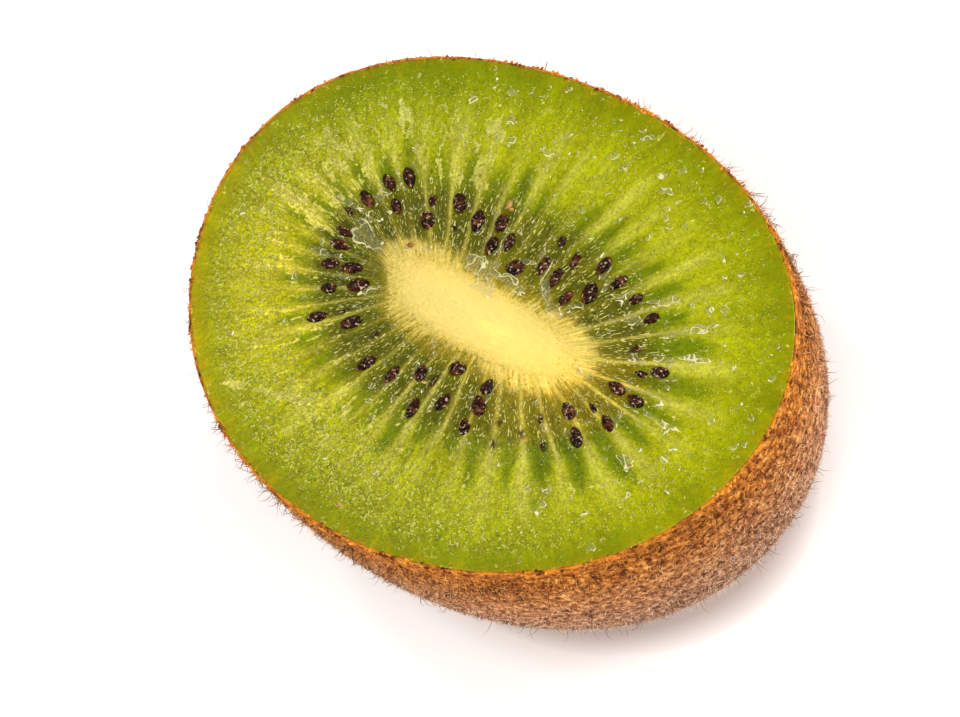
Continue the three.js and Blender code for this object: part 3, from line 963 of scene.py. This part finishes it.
def make_crumbs(height_at):
    """Crumbs of torn skin in patches along the cut edge, and the stray bits. Every crumb is a copy of
    one ball of twenty faces, knocked out of shape."""
    unit, faces = unit_ball(bpy.ops.mesh.primitive_ico_sphere_add, subdivisions=1)
    draw = np.random.RandomState(3)
    turn = draw.uniform(0, 2 * math.pi, 4 * RIM_CRUMBS)
    patchy = noise_at(side_place(turn, np.zeros(len(turn))), 2.5 * MM)
    turn = turn[draw.uniform(0, 1, len(turn)) < 0.35 + 0.8 * patchy][:RIM_CRUMBS]
    rim = side_place(turn, np.zeros(len(turn)))
    out = rim[:, :2] - MIDDLE
    out /= np.linalg.norm(out, axis=1, keepdims=True)
    rim[:, :2] += out * draw.uniform(-0.28, 0.12, (len(turn), 1)) * MM
    rim[:, 2] = CUT_HEIGHT + draw.uniform(-0.3, 0.02, len(turn)) * MM
    lengths = 0.14 + 0.36 * draw.uniform(0, 1, len(turn)) ** 2
    sizes = np.stack([lengths, 0.6 * lengths, 0.45 * lengths], -1)
    headings = draw.uniform(0, math.pi, len(turn))
    stray = np.array(STRAY_BITS)
    lying = stray[:, :2] * MM + MIDDLE
    places = np.concatenate([rim, np.column_stack([lying, height_at(lying) + 0.03 * MM])])
    sizes = np.concatenate([sizes, np.column_stack([stray[:, 2:4], 0.6 * stray[:, 3]])]) / 2 * MM
    headings = np.concatenate([headings, np.radians(stray[:, 4])])[:, None]
    knocked = unit * draw.uniform(0.6, 1.3, (len(places), len(unit), 1)) * sizes[:, None]
    knocked[..., :2] = turned(knocked[..., :2], headings)
    crumbs = piece_from((knocked + places[:, None], faces))
    is_stray = np.repeat(np.arange(len(places)) >= len(rim), len(unit))
    finish_piece(crumbs, "skin_crumbs", torn_skin(), "skin", stray=is_stray)


# ------------ hair

HAIR_SIDES = 3
HAIR_TAPER = 0.6  # how much narrower a hair is at its tip
HAIR_ROOT = 0.06 * MM  # how deep it stands in the skin
# The steps along a hair at which it has a ring of points.
SHORT = (0.0, 0.5)
MIDDLING = (0.0, 0.33, 0.67)
LONG = (0.0, 0.25, 0.5, 0.75)


def hair_triangles(rings):
    """The triangles of one closed hair: its foot, its sides and its tip."""
    triangles = [(0, 1, 2)]
    tip = rings * HAIR_SIDES
    for ring in range(0, tip, HAIR_SIDES):
        for corner in range(HAIR_SIDES):
            a, b = ring + corner, ring + (corner + 1) % HAIR_SIDES
            if ring + HAIR_SIDES < tip:
                triangles += [(a, a + HAIR_SIDES, b + HAIR_SIDES), (a, b + HAIR_SIDES, b)]
            else:
                triangles.append((a, tip, b))
    return triangles


def strands(roots, headings, bends, lengths, widths, curls, steps):
    """The points of tapered three-sided hairs, and how far along its hair each lies. Each hair follows
    an arc: from its heading towards its bend."""
    side = np.cross(headings, bends)
    points, along = [], []
    for step in (*steps, 1.0):
        bent = (curls * step)[:, None]
        forward = np.sin(bent) * headings + (1 - np.cos(bent)) * bends
        spine = roots + forward * (lengths / curls)[:, None]
        if step == 1:
            points.append(spine)
            along.append(step)
            break
        other = np.cos(bent) * bends - np.sin(bent) * headings
        for corner in range(HAIR_SIDES):
            place = 2 * math.pi * corner / HAIR_SIDES
            out = side * math.cos(place) + other * math.sin(place)
            points.append(spine + out * (widths / 2 * (1 - HAIR_TAPER * step))[:, None])
            along.append(step)
    return np.stack(points, 1), along


def skin_points(draw, count, last_direction, tufted):
    """Points spread over the skin, evenly or in tufts, with the way out and the way down at each."""
    tries = count * 4
    turn = draw.uniform(0, 2 * math.pi, tries)
    direction = draw.uniform(0, last_direction, tries)
    if tufted:
        thick = noise_at(side_place(turn, direction), 1.2 * MM) > 0.12
        turn, direction = turn[thick], direction[thick]
    step = 1e-3
    here = side_place(turn, direction)
    down = side_place(turn, direction + step) - here
    out = np.cross(down, side_place(turn + step, direction) - here)
    area = np.linalg.norm(out, axis=1)
    keep = np.flatnonzero(draw.uniform(0, area.max(), len(turn)) < area)[:count]
    down = down[keep] / np.linalg.norm(down[keep], axis=1, keepdims=True)
    return here[keep], out[keep] / area[keep, None], down


def make_hair(name, count, root, tip, length, width, lift, curl, steps, last_direction, tufted=False):
    """One kind of hair. Its ranges are in millimetres and radians, and it grows from the cut down to
    its last direction, in degrees."""
    draw = np.random.RandomState(count)
    roots, out, down = skin_points(draw, count, math.radians(last_direction), tufted)
    across = np.cross(out, down)
    count = len(roots)
    # Hairs that grow near each other lie roughly the same way.
    swing = (3 * noise_at(roots, 3 * MM) + draw.uniform(-1.6, 1.6, count))[:, None]
    flat = down * np.cos(swing) + across * np.sin(swing)
    flat_side = across * np.cos(swing) - down * np.sin(swing)
    rise = draw.uniform(*lift, count)[:, None]
    headings = flat * np.cos(rise) + out * np.sin(rise)
    up = out * np.cos(rise) - flat * np.sin(rise)
    roll = draw.uniform(-math.pi, math.pi, count)[:, None]
    bends = flat_side * np.cos(roll) + up * np.sin(roll)
    points, along = strands(
        roots - out * HAIR_ROOT, headings, bends, draw.uniform(*length, count) * MM,
        draw.uniform(*width, count) * MM, draw.uniform(*curl, count), steps)
    height = np.clip(points[..., 2], 0.02 * MM, CUT_HEIGHT + 0.6 * MM)
    points[..., 2] = height
    finish_piece(
        piece_from((points, hair_triangles(len(steps)))), name,
        dry_hair("kiwi_" + name + "_dry", root, tip), "skin",
        along=np.tile(along, count), below_cut=(CUT_HEIGHT - height.ravel()) / MM,
    )


# ------------ stage

CAMERA_DISTANCE = 400 * MM
CAMERA_ELEVATION = math.radians(57.03)
CAMERA_AZIMUTH = math.radians(70.7)  # 0 looks along +Y, and it grows towards +X
CAMERA_ROLL = math.radians(38.25)  # the camera is held tilted by this much, clockwise
CAMERA_LENS = 181.4
CAMERA_SENSOR = 36
AIM_BELOW = 4.12 * MM  # the view's centre lies this far under the middle of the cut face
# Square softboxes that face the fruit: where each is, in metres, its size and its power in watts.
SOFTBOXES = {
    "softbox_in_front": ((0.59, -0.21, 0.9), 0.8, 7.3),
    "softbox_on_the_left": ((-0.5, -0.55, 0.8), 0.4, 0.6),
    "low_softbox_on_the_left": ((-0.08, -0.98, 0.3), 0.5, 6.6),
    "low_softbox_on_the_right": ((0.54, 0.93, 0.3), 0.5, 12.0),
    "key_softbox": ((-0.1, 0.03, 1.05), 0.07, 1.2),
}


def make_camera():
    place = Matrix.Translation((*MIDDLE, CUT_HEIGHT))
    for angle, axis in (
        (CAMERA_AZIMUTH, "Z"), (math.pi / 2 - CAMERA_ELEVATION, "X"), (-CAMERA_ROLL, "Z")
    ):
        place = place @ Matrix.Rotation(angle, 4, axis)
    data = bpy.data.cameras.new("camera")
    data.lens = CAMERA_LENS
    data.sensor_width = CAMERA_SENSOR
    camera = add_object("camera", data)
    camera.matrix_world = place @ Matrix.Translation((0, -AIM_BELOW, CAMERA_DISTANCE))
    bpy.context.scene.camera = camera


def make_lights():
    for name, (place, size, power) in SOFTBOXES.items():
        data = bpy.data.lights.new(name, "AREA")
        data.shape = "SQUARE"
        data.size = size
        data.energy = power
        facing = (-Vector(place)).to_track_quat("-Z", "Y").to_matrix().to_4x4()
        add_object(name, data).matrix_world = Matrix.Translation(place) @ facing


def make_studio():
    """A white floor, and pale walls all round with a darker ceiling, so that the sides get more light
    than the cut."""
    deselect()
    bpy.ops.mesh.primitive_plane_add(size=6.0)
    floor = bpy.context.object
    floor.name = "floor"
    floor.data.materials.append(white_floor_with_painted_shadow())
    walls = bpy.data.worlds.new("studio")
    bpy.context.scene.world = walls
    walls.use_nodes = True
    tree = walls.node_tree
    tree.nodes.clear()
    way = add_node(tree, "TexCoord", output="Generated")
    height = add_node(tree, "SeparateXYZ", (way,), "Z")
    strength = add_node(tree, "MapRange", (height, 0.2, 0.7, 0.8, 0.07))
    glow = add_node(tree, "Background", {"Color": "#ffffff", "Strength": strength})
    add_node(tree, "OutputWorld", (glow,))
    bpy.context.scene.view_settings.view_transform = "Standard"


make_camera()
make_studio()
make_lights()
seeds = placed_seeds()
flesh, levels = make_flesh(seeds)
make_seeds(seeds, levels)
height_at = heights_of(flesh)
make_juice(height_at, seeds)
make_skin()
make_crumbs(height_at)
make_hair("pale_fuzz", 12000, "#b28462", "#fae4cc", (0.4, 0.9), (0.055, 0.085), (0.05, 0.6),
          (1.2, 4.0), MIDDLING, 84)
make_hair("tan_fuzz", 17000, "#9c6640", "#e6b892", (0.35, 0.75), (0.05, 0.08), (0.05, 0.5),
          (0.8, 3.0), SHORT, 84)
make_hair("brown_fuzz", 17001, "#66371e", "#ae7c58", (0.35, 0.7), (0.05, 0.08), (0.05, 0.5),
          (0.8, 3.0), SHORT, 84)
# Short dark hairs fill the gaps in the fuzz: partly dark fuzz, partly painted shade between the fibres.
make_hair("dark_fuzz_and_gap_shade", 13000, "#1e0b04", "#46200e", (0.2, 0.45), (0.06, 0.1), (0.1, 0.8),
          (0.6, 2.2), SHORT, 84)
make_hair("bristles", 1500, "#45261a", "#b88a64", (0.9, 2.0), (0.04, 0.07), (0.3, 1.2),
          (0.8, 3.4), LONG, 75)
make_hair("edge_hairs", 700, "#200c05", "#5e3218", (0.7, 2.0), (0.05, 0.08), (0.2, 1.0),
          (0.4, 1.8), LONG, 7, tufted=True)
make_hair("loose_hairs", 90, "#c87a2c", "#ffc880", (1.4, 3.2), (0.04, 0.07), (0.05, 0.4),
          (0.4, 1.6), LONG, 14)
